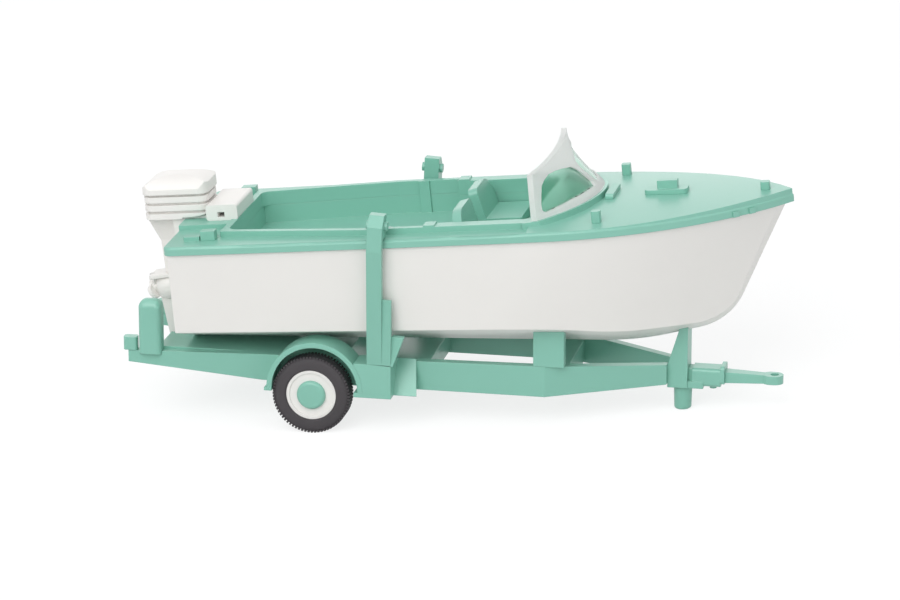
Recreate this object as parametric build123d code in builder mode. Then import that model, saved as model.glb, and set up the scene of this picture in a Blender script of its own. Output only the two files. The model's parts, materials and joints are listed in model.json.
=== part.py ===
"""Model speedboat with an outboard motor, strapped on a two-wheeled boat trailer.

Millimetres, at the size of the small plastic model itself. Bow along +X, port
along +Y, up along +Z. Every piece is laid out with the wheel axis level at
wheel_radius, then the whole is tipped nose down by park_angle, so that it
stands on both wheels and on the leg under the drawbar.
"""
import math
import os

from build123d import *

os.makedirs("parts", exist_ok=True)

# Sides of the middle plane: name, sign of Y
SIDES = (("starboard", -1), ("port", 1))

# Overrun of every cut and the running gap of the axle
overrun = 2.0
seat_gap = 0.05

# Wheels and axle
wheel_radius = 3.9
wheel_face = 9.7
tyre_width = 2.0
tyre_shoulder = 0.45
rim_radius = 2.5
rim_dish = 0.25
rim_lip = 0.3
hub_radius = 1.45
hub_dome = 0.42
hub_round = 0.35
axle_radius = 0.5

# Parking: nose-down lean of the whole and reach of the leg
park_angle = 3.0
leg_setback = 1.4
leg_radius = 0.93
leg_tip_radius = 0.8
leg_tip_round = 0.3
leg_root_height = 4.3

# Trailer rails
rail_face = 6.9
rail_width = 1.0
rail_tail = -19.3
rail_knee = 22.9
rail_nose = 34.2
rail_nose_face = 1.9
rail_tail_low = 5.4
rail_tail_top = 6.56
rail_axle_station = -5.6
rail_axle_low = 4.3
rail_axle_top = 6.95
rail_knee_low = 4.3
rail_knee_top = 7.4
rail_nose_low = 4.75
rail_nose_top = 6.75

# Cross members between the rails
tail_plate_tail = -16.4
tail_plate_nose = -3.0
tail_plate_top = 6.9
tail_plate_thick = 1.1
skeg_notch = 1.9
axle_beam_tail = -2.6
axle_beam_nose = 2.6
axle_beam_low = 2.9
axle_beam_top = 6.9
front_bar_tail = 6.5
front_bar_nose = 10.9
front_bar_low = 4.6
front_bar_top = 6.6
knee_bar_tail = 21.75
knee_bar_nose = 24.8
knee_bar_low = 4.6
knee_bar_top = 6.8

# Fenders, as seen from the side
fender_station = 0.4
fender_height = 4.5
fender_radius = 4.35
fender_thick = 0.5
fender_face = 9.9
fender_tail_low = 4.2
fender_flap = 0.75

# Stanchions with their foot boxes and hooks
foot_tail = 5.0
foot_nose = 10.7
foot_undercut = 0.65
foot_low = 4.05
foot_top = 7.5
foot_nose_face = 8.5
foot_toe_length = 0.65
stanchion_tail = 5.7
stanchion_width = 1.5
stanchion_thick = 0.62
strap_gap = 0.25
stanchion_shift = 0.55
port_stanchion_ahead = 0.9
hook_lap = 1.28
hook_rise = 2.36
hook_shoulder_rise = 1.36
hook_round = 0.7
hook_pin_radius = 0.45
hook_pin_rise = 1.26
hook_pin_lap = 0.58
hook_pin_proud = 0.3
hook_width = 1.8
rib_width = 0.9
rib_top = 14.6
gusset_length = 1.2
gusset_top = 10.6
gusset_low = 7.9

# Brackets under the hull at the rails' knees
bracket_tail = 21.75
bracket_nose = 24.8
bracket_thick = 1.0

# Posts and lamps on the rails' tails
post_station = -17.0
post_length = 2.3
post_width = 1.8
post_inset = 6.5
post_top = 11.95
post_round = 0.5
post_dome = 0.8
lamp_station = -19.1
lamp_length = 1.4
lamp_width = 1.0
lamp_top = 7.95
lamp_round = 0.3

# Chock under the forefoot, with its two blades
chock_length = 2.0
chock_face = 1.3
chock_top = 10.85
chock_crest_length = 1.3
chock_shoulder = 6.6

# Coupling and drawbar
neck_length = 0.45
sleeve_length = 2.8
sleeve_low = 4.5
sleeve_top = 6.35
sleeve_face = 1.15
sleeve_round = 0.35
neck_face = 0.8
neck_low = 4.7
neck_top = 6.2
tongue_length = 1.1
tongue_face = 1.2
tongue_thick = 0.7
flange_thick = 0.4
flange_rise = 0.3
nub_setback = 0.85
nub_radius = 0.35
nub_drop = 0.35
drawbar_height = 5.45
drawbar_root = 1.1
drawbar_end = 0.8
drawbar_root_width = 1.4
drawbar_end_width = 1.0
drawbar_length = 4.85
eye_radius = 0.87
eye_hole = 0.42
eye_stretch = 0.36
eye_thick = 0.85
eye_round = 0.2

# Deck line of the boat: its plane rises to the bow
deck_height = 19.98
deck_angle = 5.63
rim_depth = 0.85
rim_round = 0.25
beam = 11.6
beam_station = 23.0
rim_tip = 46.4
rim_tail = -14.65
tail_half_beam = 11.1
corner_round = 0.9

# Hull below the rim
hull_inset = 0.3
hull_tail_inset = 0.35
side_flare = 0.215
shell_depth = 14.5
stem_rake = 0.53
transom_rake = 0.068
waterline_station = 13.0
keel_tail_height = 6.35
keel_slope = 0.049
keel_break = 31.0
keel_straight_end = 26.0
forefoot_station = 40.25
forefoot_height = 11.2
forefoot_radius = 6.5
bilge_radius = 28.0
stem_lean = 22.9
tail_deadrise = 17.4
fore_deadrise = 22.5
cutter_half = 14.0
cutter_depth = 9.0

# Cockpit
cockpit_tail = -8.8
cockpit_nose = 21.9
cockpit_half = 8.9
cockpit_tail_half = 7.2
cockpit_flare_station = 5.0
cockpit_step_station = 11.3
cockpit_fore_half = 8.05
cockpit_round = 1.0
coaming_width = 0.65
coaming_rise = 0.6
floor_depth = 2.7
tub_wall = 0.6
floor_thick = 0.7
wall_rib_station = 7.65
wall_rib = 1.1
wall_rib_proud = 0.2

# Fore deck crown
crown_tail = 21.9
crown_inset = 0.1
crown_rise = 0.78
crown_nose_rise = 0.48
crown_nose = 44.0
crown_radius = 95.0

# Seats
seat_back_station = 14.6
seat_back_thick = 0.95
seat_back_lean = 14.0
seat_back_top = 1.15
seat_inner = 1.5
seat_outer = 7.85
seat_back_round = 2.6
seat_inner_round = 0.6
seat_length = 4.3
seat_height = 1.0
seat_round = 0.3

# Windscreen and the raised band under it
screen_base_station = 22.68
screen_base_reach = 5.0
screen_base_half = 9.5
screen_base_rise = 0.74
screen_nose_rise = 1.3
screen_top_station = 22.66
screen_top_reach = 0.8
screen_top_half = 9.35
screen_height = 4.54
screen_thick = 0.55
pane_thick = 0.16
band_width = 0.9
window_round = 0.35

# Fittings on the deck
deck_post_station = 28.45
deck_post_inset = 9.0
deck_post_size = 0.9
deck_post_height = 1.4
bow_post_station = 43.7
bow_post_height = 0.8
plate_tail = 31.85
plate_nose = 36.1
plate_half = 1.0
plate_rise = 0.3
plate_round = 0.5
cleat_tail = 33.1
cleat_nose = 35.1
cleat_half = 0.45
cleat_rise = 1.1
horn_station = 28.35
horn_length = 0.8
horn_half = 2.2
horn_rise = 0.45
horn_round = 0.3
light_station = 42.1
light_pitch = 1.4
light_length = 0.7
light_height = 0.55
light_proud = 0.18
stern_pad_station = -12.1
stern_pad_length = 1.6
stern_block_station = -10.45
stern_block_length = 1.45
stern_pad_half = 0.55
stern_pad_rise = 0.45
stern_block_rise = 0.95
stern_fit_inset = 8.5
rest_pad_station = 11.95
rest_pad_length = 1.1
rest_pad_rise = 0.15

# Raised pad of the stern deck under the motor
motor_pad_nose = -9.2
motor_pad_half = 4.6
motor_pad_rise = 0.5

# Outboard motor: its own frame leans aft
motor_station = -15.65
motor_drop = 1.83
motor_lean = 11.0
cowl_station = -15.33
cowl_drop = 0.93
cowl_lean = 5.2
cowl_half_length = 3.45
cowl_half = 2.5
cowl_round = 1.1
rib_count = 3
rib_pitch = 0.85
rib_groove = 0.25
rib_inset = 0.12
rib_depth = 0.35
dome_base = 2.55
dome_height = 1.75
cowl_chin = 0.45
cowl_chin_start = 0.43
cowl_clearance = 0.25
leg_top = 0.9
leg_tail = -2.75
leg_nose = -0.2
leg_half = 1.15
leg_throat = 1.5
leg_throat_tail = -2.1
leg_throat_nose = -0.5
leg_low_tail = -2.35
leg_low_nose = -0.6
leg_low_half = 0.55
leg_length = 5.6
gear_height = -6.25
gear_radius = 1.3
gear_tail = -3.45
gear_nose = 0.75
gear_nose_radius = 0.35
gear_tail_radius = 0.95
gear_tail_round = 0.45
plate_drop = -4.85
splash_tail = -3.9
splash_nose = 0.2
splash_half = 1.35
splash_thick = 0.35
skeg_low = -11.2
skeg_tail = -3.3
skeg_nose = -1.5
skeg_half = 0.3
propeller_radius = 1.45
propeller_hub = 0.7
propeller_hub_length = 0.85
blade_count = 3
blade_thick = 0.4
blade_width = 1.5
blade_pitch = 30.0
mount_nose = -8.75
mount_tail = -12.0
mount_half = 3.25
mount_rise = 1.6
mount_round = 0.3
mount_slot_nose = -10.1
mount_slot_tail = -10.8
mount_slot_rise = 0.35
mount_slot_height = 0.5
clamp_half = 1.9
clamp_drop = 2.6

# Window of one half of the screen: shares of the screen's foot half width and
# of its top height over the deck
window_shares = (
    (0.945, 0.27),
    (0.935, 0.43),
    (0.905, 0.585),
    (0.86, 0.73),
    (0.775, 0.805),
    (0.645, 0.85),
    (0.49, 0.835),
    (0.33, 0.8),
    (0.13, 0.735),
    (0.055, 0.64),
    (0.05, 0.5),
    (0.05, 0.41),
    (0.095, 0.34),
    (0.275, 0.345),
    (0.57, 0.335),
    (0.78, 0.295),
    (0.9, 0.255),
)

# Crest of the motor's dome along the boat and its arch across: shares of the
# cowl's half length or half width and of the dome's height over its base
dome_shares = (
    (-1.0, 0.35),
    (-0.6, 0.82),
    (0.0, 1.0),
    (0.55, 0.93),
    (1.0, 0.6),
)
dome_arch_shares = (
    (-1.0, 0.3),
    (-0.8, 0.72),
    (-0.45, 0.97),
    (0.0, 1.05),
    (0.45, 0.97),
    (0.8, 0.72),
    (1.0, 0.3),
)

# Planes and helpers that the pieces share
DECK = Plane(
    origin=(0, 0, deck_height),
    x_dir=(math.cos(math.radians(deck_angle)), 0, math.sin(math.radians(deck_angle))),
    z_dir=(-math.sin(math.radians(deck_angle)), 0, math.cos(math.radians(deck_angle))),
)
MOTOR = Plane(
    origin=(motor_station, 0, deck_height - motor_drop),
    x_dir=(math.cos(math.radians(motor_lean)), 0, math.sin(math.radians(motor_lean))),
    z_dir=(-math.sin(math.radians(motor_lean)), 0, math.cos(math.radians(motor_lean))),
)
COWL = Plane(
    origin=(cowl_station, 0, deck_height - cowl_drop),
    x_dir=(math.cos(math.radians(cowl_lean)), 0, math.sin(math.radians(cowl_lean))),
    z_dir=(-math.sin(math.radians(cowl_lean)), 0, math.cos(math.radians(cowl_lean))),
)
AXLE = Plane(origin=(0, 0, wheel_radius), x_dir=(1, 0, 0), z_dir=(0, -1, 0))

# Nose-down lean about the axle, and the floor as the level layout sees it
TIPPED = Location((0, 0, wheel_radius), (0, park_angle, 0)) * Location((0, 0, -wheel_radius))
FLOOR = Plane(TIPPED.inverse() * Location((0, 0, 0)))

finished = {}


def finish(block, name):
    """Name a finished piece and keep it for the parking move."""
    block.part.label = name
    finished[name] = block.part


def side_plane(offset=0.0):
    """Plane seen from starboard, X to the right and Z up, at one Y."""
    return Plane(origin=(0, offset, 0), x_dir=(1, 0, 0), z_dir=(0, -1, 0))


def cross_plane(station):
    """Plane across the model at one X, looking aft, Y across and Z up."""
    return Plane(origin=(station, 0, 0), x_dir=(0, 1, 0), z_dir=(1, 0, 0))


def deck_point(along, across=0.0, rise=0.0):
    """Point on or over the deck plane, in the level layout."""
    return DECK.from_local_coords((along, across, rise))


def boat_outline(plane, tip, tail, half, tail_half, station):
    """Closed plan of the boat on a plane: stern, long side arc and bow arc."""
    with BuildSketch(plane) as plan:
        with BuildLine():
            TangentArc((station, half), (tip, 0), tangent=(1, 0))
            side = TangentArc((station, half), (tail, tail_half), tangent=(-1, 0))
            Line(side @ 1, (tail, 0))
            mirror(about=Plane.XZ)
        make_face()
    return plan.sketch


def rim_half(station):
    """Half width of the rim at one X of the deck plane."""
    if station > beam_station:
        span, fall = rim_tip - beam_station, beam
    else:
        span, fall = beam_station - rim_tail, beam - tail_half_beam
    radius = (span**2 + fall**2) / (2 * fall)
    return beam - radius + math.sqrt(radius**2 - (station - beam_station) ** 2)


def slab(plane, x_low, x_high, y_low, y_high):
    """Rectangle between two X and two Y values of a plane."""
    with BuildSketch(plane) as plan:
        with Locations(((x_low + x_high) / 2, (y_low + y_high) / 2)):
            Rectangle(abs(x_high - x_low), abs(y_high - y_low))
    return plan.sketch


def both_sides(plane, row):
    """Closed outline from the points of the port side, bow last."""
    return outline(plane, [(along, -across) for along, across in row] + row[::-1])


def cockpit_plan(plane, margin=0.0):
    """Plan of the cockpit: narrow at the stern, with a step ahead of its middle."""
    row = [
        (cockpit_tail - margin, cockpit_tail_half + margin),
        (cockpit_flare_station, cockpit_half + margin),
        (cockpit_step_station + margin, cockpit_half + margin),
        (cockpit_step_station + margin, cockpit_fore_half + margin),
        (cockpit_nose + margin, cockpit_fore_half + margin),
    ]
    return both_sides(plane, row)


def coaming_plan(plane):
    """Outer plan of the coaming, straight where the cockpit steps in."""
    row = [
        (cockpit_tail - coaming_width, cockpit_tail_half + coaming_width),
        (cockpit_flare_station, cockpit_half + coaming_width),
        (cockpit_nose + coaming_width, cockpit_half + coaming_width),
    ]
    return both_sides(plane, row)


def outline(plane, points):
    """Closed straight-sided outline on a plane."""
    with BuildSketch(plane) as plan:
        with BuildLine():
            Polyline(*points, close=True)
        make_face()
    return plan.sketch


def band(plane, x_wide, reach, half, width):
    """Bow-shaped band between two like arcs, one set aft of the other."""
    with BuildSketch(plane) as plan:
        with BuildLine():
            outer = ThreePointArc((x_wide, -half), (x_wide + reach, 0), (x_wide, half))
            inner = ThreePointArc(
                (x_wide - width, -half), (x_wide + reach - width, 0), (x_wide - width, half)
            )
            Line(outer @ 0, inner @ 0)
            Line(outer @ 1, inner @ 1)
        make_face()
    return plan.sketch


# Hull: flared sides between the rim and a sharp waterline, cut below by a
# V-bottom that follows the keel, the forefoot and the stem
keel_direction = math.atan(keel_slope)


def keel_height(station):
    """Height of the straight keel at one X."""
    return keel_tail_height + (station - rim_tail) * keel_slope


def keel_plane(station):
    """Plane square to the straight keel at one X."""
    return Plane(
        origin=(station, 0, keel_height(station)),
        x_dir=(0, 1, 0),
        z_dir=(math.cos(keel_direction), 0, math.sin(keel_direction)),
    )


def vee(plane, deadrise):
    """Outline of all that lies below a V-bottom of one deadrise."""
    lift = cutter_half * math.tan(math.radians(deadrise))
    corners = [
        (0, 0),
        (cutter_half, lift),
        (cutter_half, -cutter_depth),
        (-cutter_half, -cutter_depth),
        (-cutter_half, lift),
    ]
    return outline(plane, corners)


stem_top_rise = deck_height + rim_tip * math.sin(math.radians(deck_angle)) + overrun
stem_top_station = forefoot_station + (stem_top_rise - forefoot_height) * math.tan(
    math.radians(stem_lean)
)

with BuildPart() as bottom_cut:
    tail_vee = vee(keel_plane(rim_tail - overrun), tail_deadrise)
    fore_vee = vee(keel_plane(keel_straight_end), fore_deadrise)
    loft([tail_vee.face(), fore_vee.face()], ruled=True)
    with BuildLine() as keel_path:
        FilletPolyline(
            (keel_straight_end, 0, keel_height(keel_straight_end)),
            (keel_break, 0, keel_height(keel_break)),
            (forefoot_station, 0, forefoot_height),
            (stem_top_station, 0, stem_top_rise),
            radius=[bilge_radius, forefoot_radius],
        )
    sweep(fore_vee, path=keel_path.line)

hull_tip = rim_tip - hull_inset
hull_tail = rim_tail + hull_tail_inset
flare_depth = shell_depth - rim_depth

with BuildPart() as hull:
    upper = boat_outline(
        DECK.offset(-rim_depth),
        hull_tip,
        hull_tail,
        beam - hull_inset,
        tail_half_beam - hull_inset,
        beam_station,
    )
    lower = boat_outline(
        DECK.offset(-shell_depth),
        hull_tip - flare_depth * stem_rake,
        hull_tail - flare_depth * transom_rake,
        beam - hull_inset - flare_depth * side_flare,
        tail_half_beam - hull_inset - flare_depth * side_flare,
        waterline_station,
    )
    loft([upper.face(), lower.face()], ruled=True)
    add(bottom_cut.part, mode=Mode.SUBTRACT)
    extrude(
        cockpit_plan(DECK.offset(-rim_depth), tub_wall),
        amount=-(floor_depth + floor_thick - rim_depth), mode=Mode.SUBTRACT,
    )
finish(hull, "hull")

# Cockpit tub: thin walls and floor, a flat rib up each side wall
with BuildPart() as cockpit_tub:
    extrude(
        cockpit_plan(DECK.offset(-rim_depth), tub_wall),
        amount=-(floor_depth + floor_thick - rim_depth),
    )
    extrude(
        cockpit_plan(DECK.offset(-floor_depth)), amount=floor_depth, mode=Mode.SUBTRACT
    )
    for name, side in SIDES:
        extrude(
            slab(
                DECK.offset(-floor_depth),
                wall_rib_station - wall_rib / 2,
                wall_rib_station + wall_rib / 2,
                side * (cockpit_half - wall_rib_proud),
                side * cockpit_half,
            ),
            amount=floor_depth + coaming_rise,
        )
finish(cockpit_tub, "cockpit_tub")

# Crown of the fore deck: the inset deck line under a very large round
crown_slope = math.atan((crown_rise - crown_nose_rise) / (crown_nose - crown_tail))
with BuildPart() as crown:
    with BuildSketch(DECK.offset(-rim_round)):
        add(
            boat_outline(
                Plane.XY,
                rim_tip - crown_inset,
                rim_tail + crown_inset,
                beam - crown_inset,
                tail_half_beam - crown_inset,
                beam_station,
            )
        )
        with Locations(((crown_tail + rim_tail) / 2 - overrun, 0)):
            Rectangle(crown_tail - rim_tail + 2 * overrun, 2 * beam, mode=Mode.SUBTRACT)
    extrude(amount=crown_rise + rim_round)
    crown_top = deck_point(crown_tail, 0, crown_rise)
    crown_lean = math.radians(deck_angle) - crown_slope
    CROWN = Plane(
        origin=crown_top, x_dir=(0, 1, 0), z_dir=(math.cos(crown_lean), 0, math.sin(crown_lean))
    )
    with BuildSketch(CROWN.offset(-overrun)):
        with Locations((0, -crown_radius)):
            Circle(crown_radius)
    extrude(amount=rim_tip - crown_tail + 2 * overrun, mode=Mode.INTERSECT)

# Plane that the windscreen's foot stands on, rising to the middle
foot_lean = math.radians(deck_angle) + math.atan(
    (screen_nose_rise - screen_base_rise) / screen_base_reach
)
FOOT = Plane(
    origin=deck_point(screen_base_station, 0, screen_base_rise),
    x_dir=(math.cos(foot_lean), 0, math.sin(foot_lean)),
    z_dir=(-math.sin(foot_lean), 0, math.cos(foot_lean)),
)

with BuildPart() as screen_band:
    extrude(
        band(
            DECK,
            screen_base_station + band_width / 3,
            screen_base_reach,
            screen_base_half + coaming_width / 3,
            band_width * 2,
        ),
        amount=2 * screen_nose_rise,
    )
    split(bisect_by=FOOT, keep=Keep.BOTTOM)

# Deck: rim plate, crown, coaming round the cockpit and the raised pads
with BuildPart() as deck:
    with BuildSketch(DECK.offset(-rim_depth)) as rim_line:
        add(boat_outline(Plane.XY, rim_tip, rim_tail, beam, tail_half_beam, beam_station))
        fillet(rim_line.vertices().group_by(Axis.X)[0], corner_round)
    extrude(amount=rim_depth)
    top_face = deck.faces().filter_by(DECK).sort_by(Axis.Z)[-1]
    fillet(top_face.edges(), rim_round)
    add(crown.part)
    extrude(coaming_plan(DECK), amount=coaming_rise)
    extrude(
        slab(DECK, rim_tail + crown_inset, motor_pad_nose, -motor_pad_half, motor_pad_half),
        amount=motor_pad_rise,
    )
    add(screen_band.part)
    with BuildSketch(DECK.offset(-rim_depth - overrun)) as opening:
        add(cockpit_plan(Plane.XY))
        fillet(opening.vertices().group_by(Axis.X)[0], cockpit_round)
        fillet(opening.vertices().group_by(Axis.X)[-1], cockpit_round)
    extrude(amount=rim_depth + coaming_rise + 2 * overrun, mode=Mode.SUBTRACT)
    for name, side in SIDES:
        extrude(
            slab(
                DECK,
                stern_pad_station - stern_pad_length / 2,
                stern_pad_station + stern_pad_length / 2,
                side * stern_fit_inset - stern_pad_half,
                side * stern_fit_inset + stern_pad_half,
            ),
            amount=stern_pad_rise,
        )
        extrude(
            slab(
                DECK.offset(coaming_rise),
                rest_pad_station - rest_pad_length / 2,
                rest_pad_station + rest_pad_length / 2,
                side * cockpit_fore_half,
                side * (cockpit_half + coaming_width),
            ),
            amount=rest_pad_rise,
        )
finish(deck, "deck")

# Seats: a low squab and a leaning backrest with a rounded outer shoulder
back_lean = math.radians(seat_back_lean + deck_angle)
for name, side in SIDES:
    with BuildPart() as seat:
        back_foot = deck_point(seat_back_station, 0, -floor_depth)
        BACK = Plane(
            origin=back_foot,
            x_dir=(0, 1, 0),
            z_dir=(math.cos(back_lean), 0, math.sin(back_lean)),
        )
        back_height = (floor_depth + seat_back_top) / math.cos(math.radians(seat_back_lean))
        with BuildSketch(BACK) as back_face:
            with Locations((side * (seat_inner + seat_outer) / 2, back_height / 2)):
                Rectangle(seat_outer - seat_inner, back_height)
            outer, inner = (0, -1) if side < 0 else (-1, 0)
            fillet(back_face.vertices().group_by(Axis.Y)[-1].sort_by(Axis.X)[outer], seat_back_round)
            fillet(back_face.vertices().group_by(Axis.Y)[-1].sort_by(Axis.X)[inner], seat_inner_round)
        extrude(amount=seat_back_thick)
        extrude(
            slab(
                DECK.offset(-floor_depth),
                seat_back_station,
                seat_back_station + seat_length,
                side * seat_inner,
                side * seat_outer,
            ),
            amount=seat_height,
        )
        split(bisect_by=DECK.offset(-floor_depth), keep=Keep.TOP)
    finish(seat, f"seat_{name}")

# Windscreen: two arched windows in one wrapped frame
top_plane_height = screen_base_rise + screen_height
top_slope = math.radians(deck_angle)
TOP = Plane(
    origin=deck_point(screen_top_station, 0, top_plane_height),
    x_dir=(math.cos(top_slope), 0, math.sin(top_slope)),
    z_dir=(-math.sin(top_slope), 0, math.cos(top_slope)),
)


def screen_shell(front, back):
    """Foot and top sections of a shell between two distances behind the face."""
    width = back - front
    foot = band(FOOT, -front, screen_base_reach, screen_base_half, width)
    top = band(TOP, -front, screen_top_reach, screen_top_half, width)
    return [foot.face(), top.face()]


def windows(plane):
    """Arched window of each half, seen along the boat."""
    with BuildSketch(plane) as view:
        for name, side in SIDES:
            with BuildLine():
                Polyline(
                    *[
                        (side * across * screen_base_half, up * top_plane_height)
                        for across, up in window_shares
                    ],
                    close=True,
                )
            make_face()
        fillet(view.vertices(), window_round)
    return view.sketch


VIEW = Plane(
    origin=deck_point(screen_top_station - 2 * overrun),
    x_dir=(0, 1, 0),
    z_dir=DECK.x_dir,
)
view_length = screen_base_reach + 4 * overrun

with BuildPart() as windscreen:
    loft(screen_shell(0, screen_thick), ruled=True)
    extrude(windows(VIEW), amount=view_length, mode=Mode.SUBTRACT)
    add(deck.part, mode=Mode.SUBTRACT)
finish(windscreen, "windscreen")

pane_front = (screen_thick - pane_thick) / 2
with BuildPart() as window_panes:
    loft(screen_shell(pane_front, pane_front + pane_thick), ruled=True)
    extrude(windows(VIEW), amount=view_length, mode=Mode.INTERSECT)
finish(window_panes, "window_panes")

# Posts of the deck: one on each side and one at the bow
POSTS = (
    # station, across, height
    (deck_post_station, -deck_post_inset, deck_post_height),
    (deck_post_station, deck_post_inset, deck_post_height),
    (bow_post_station, 0, bow_post_height + crown_nose_rise),
)
with BuildPart() as deck_posts:
    for station, across, height in POSTS:
        with BuildSketch(DECK):
            with Locations((station, across)):
                RectangleRounded(deck_post_size, deck_post_size, deck_post_size / 4)
        extrude(amount=height)
    add(deck.part, mode=Mode.SUBTRACT)
finish(deck_posts, "deck_posts")

# Bow plate with its cleat
with BuildPart() as bow_cleat:
    with BuildSketch(DECK):
        with Locations(((plate_tail + plate_nose) / 2, 0)):
            RectangleRounded(plate_nose - plate_tail, 2 * plate_half, plate_round)
    extrude(amount=crown_rise + plate_rise)
    extrude(
        slab(DECK, cleat_tail, cleat_nose, -cleat_half, cleat_half),
        amount=crown_rise + cleat_rise,
    )
    add(deck.part, mode=Mode.SUBTRACT)
finish(bow_cleat, "bow_cleat")

# Horn ahead of the windscreen: a low bar across the crown
with BuildPart() as horn:
    with BuildSketch(cross_plane(0).offset(horn_station - horn_length / 2)) as horn_face:
        crown_height = deck_point(horn_station, 0, crown_rise).Z
        with Locations((0, crown_height + (horn_rise - crown_rise) / 2)):
            Rectangle(2 * horn_half, horn_rise + crown_rise)
        fillet(horn_face.vertices().group_by(Axis.Y)[-1], horn_round)
    extrude(amount=horn_length)
    add(deck.part, mode=Mode.SUBTRACT)
finish(horn, "horn")

# Small lights on the side of the rim near the bow, two on each side
bow_bend = ((rim_tip - beam_station) ** 2 + beam**2) / (2 * beam)
with BuildPart() as bow_lights:
    for name, side in SIDES:
        for step in (-1, 1):
            station = light_station + step * light_pitch / 2
            turn = math.degrees(math.asin((station - beam_station) / bow_bend))
            with BuildSketch(DECK.offset(-rim_depth)):
                with Locations(Location((station, side * rim_half(station), 0), (0, 0, -side * turn))):
                    Rectangle(light_length, 2 * light_proud)
            extrude(amount=light_height)
    add(deck.part, mode=Mode.SUBTRACT)
finish(bow_lights, "bow_lights")

# Blocks on the stern deck, one on each side
with BuildPart() as stern_blocks:
    for name, side in SIDES:
        extrude(
            slab(
                DECK,
                stern_block_station - stern_block_length / 2,
                stern_block_station + stern_block_length / 2,
                side * stern_fit_inset - stern_pad_half,
                side * stern_fit_inset + stern_pad_half,
            ),
            amount=stern_block_rise,
        )
    add(deck.part, mode=Mode.SUBTRACT)
finish(stern_blocks, "stern_blocks")

# Motor cowl: ribbed skirt under an overhanging rounded dome
COWL_SIDE = Plane(origin=COWL.origin, x_dir=COWL.x_dir, z_dir=(0, -1, 0))


def cowl_section(height, inset):
    """Rounded plan of the cowl at one height, set in all round."""
    with BuildSketch(COWL.offset(height)) as plan:
        RectangleRounded(
            2 * (cowl_half_length - inset), 2 * (cowl_half - inset), cowl_round - inset
        )
    return plan.sketch


def dome_profile(plane, half, shares):
    """Outline under a crest given by shares, down to the dome's base."""
    with BuildSketch(plane) as profile:
        with BuildLine():
            crest = Spline(
                *[(along * half, dome_base + up * dome_height) for along, up in shares]
            )
            Polyline(crest @ 0, (-half, dome_base), (half, dome_base), crest @ 1)
        make_face()
    return profile.sketch


COWL_FRONT = Plane(origin=COWL.origin, x_dir=(0, 1, 0), z_dir=COWL.x_dir)

with BuildPart() as motor_cowl:
    extrude(dome_profile(COWL_SIDE, cowl_half_length, dome_shares), amount=cowl_half, both=True)
    extrude(
        dome_profile(COWL_FRONT, cowl_half, dome_arch_shares),
        amount=cowl_half_length + overrun, both=True, mode=Mode.INTERSECT,
    )
    extrude(cowl_section(dome_base, 0), amount=dome_height + overrun, mode=Mode.INTERSECT)
    extrude(cowl_section(0, rib_inset + rib_depth), amount=dome_base)
    for rib in range(rib_count):
        extrude(cowl_section(rib * rib_pitch, rib_inset), amount=rib_pitch - rib_groove)
    extrude(
        outline(
            COWL_SIDE,
            [
                (cowl_chin_start, 0),
                (cowl_half_length, cowl_chin),
                (cowl_half_length, -overrun),
                (cowl_chin_start, -overrun),
            ],
        ),
        amount=cowl_half, both=True, mode=Mode.SUBTRACT,
    )
    extrude(
        slab(DECK.offset(-overrun), rim_tail - seat_gap, beam, -beam, beam),
        amount=motor_pad_rise + cowl_clearance + overrun, mode=Mode.SUBTRACT,
    )
finish(motor_cowl, "motor_cowl")

# Motor leg: from the cowl to a narrow throat, then down to the gear case
with BuildPart() as motor_leg:
    leg_root = slab(MOTOR.offset(leg_top), leg_tail, leg_nose, -leg_half, leg_half)
    leg_waist = slab(
        MOTOR.offset(-leg_throat), leg_throat_tail, leg_throat_nose, -leg_low_half, leg_low_half
    )
    leg_foot = slab(
        MOTOR.offset(-leg_length), leg_low_tail, leg_low_nose, -leg_low_half, leg_low_half
    )
    loft([leg_root.face(), leg_waist.face()], ruled=True)
    loft([leg_waist.face(), leg_foot.face()], ruled=True)
    add(motor_cowl.part, mode=Mode.SUBTRACT)
finish(motor_leg, "motor_leg")

# Mount of the motor on the stern: block on the pad and clamp over the transom
with BuildPart() as motor_mount:
    extrude(
        slab(DECK.offset(motor_pad_rise), mount_tail, mount_nose, -mount_half, mount_half),
        amount=mount_rise,
    )
    fillet(motor_mount.edges().filter_by(Axis.Y), mount_round)
    extrude(
        slab(
            DECK.offset(motor_pad_rise + mount_slot_rise),
            mount_slot_tail,
            mount_slot_nose,
            -mount_half - overrun,
            mount_half + overrun,
        ),
        amount=mount_slot_height, mode=Mode.SUBTRACT,
    )
    extrude(
        slab(
            DECK.offset(-clamp_drop),
            motor_station + leg_nose,
            mount_tail + mount_round + mount_round,
            -clamp_half,
            clamp_half,
        ),
        amount=clamp_drop + motor_pad_rise + cowl_clearance,
    )
    add(deck.part, mode=Mode.SUBTRACT)
    add(hull.part, mode=Mode.SUBTRACT)
    add(motor_cowl.part, mode=Mode.SUBTRACT)
    add(motor_leg.part, mode=Mode.SUBTRACT)
finish(motor_mount, "motor_mount")

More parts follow.
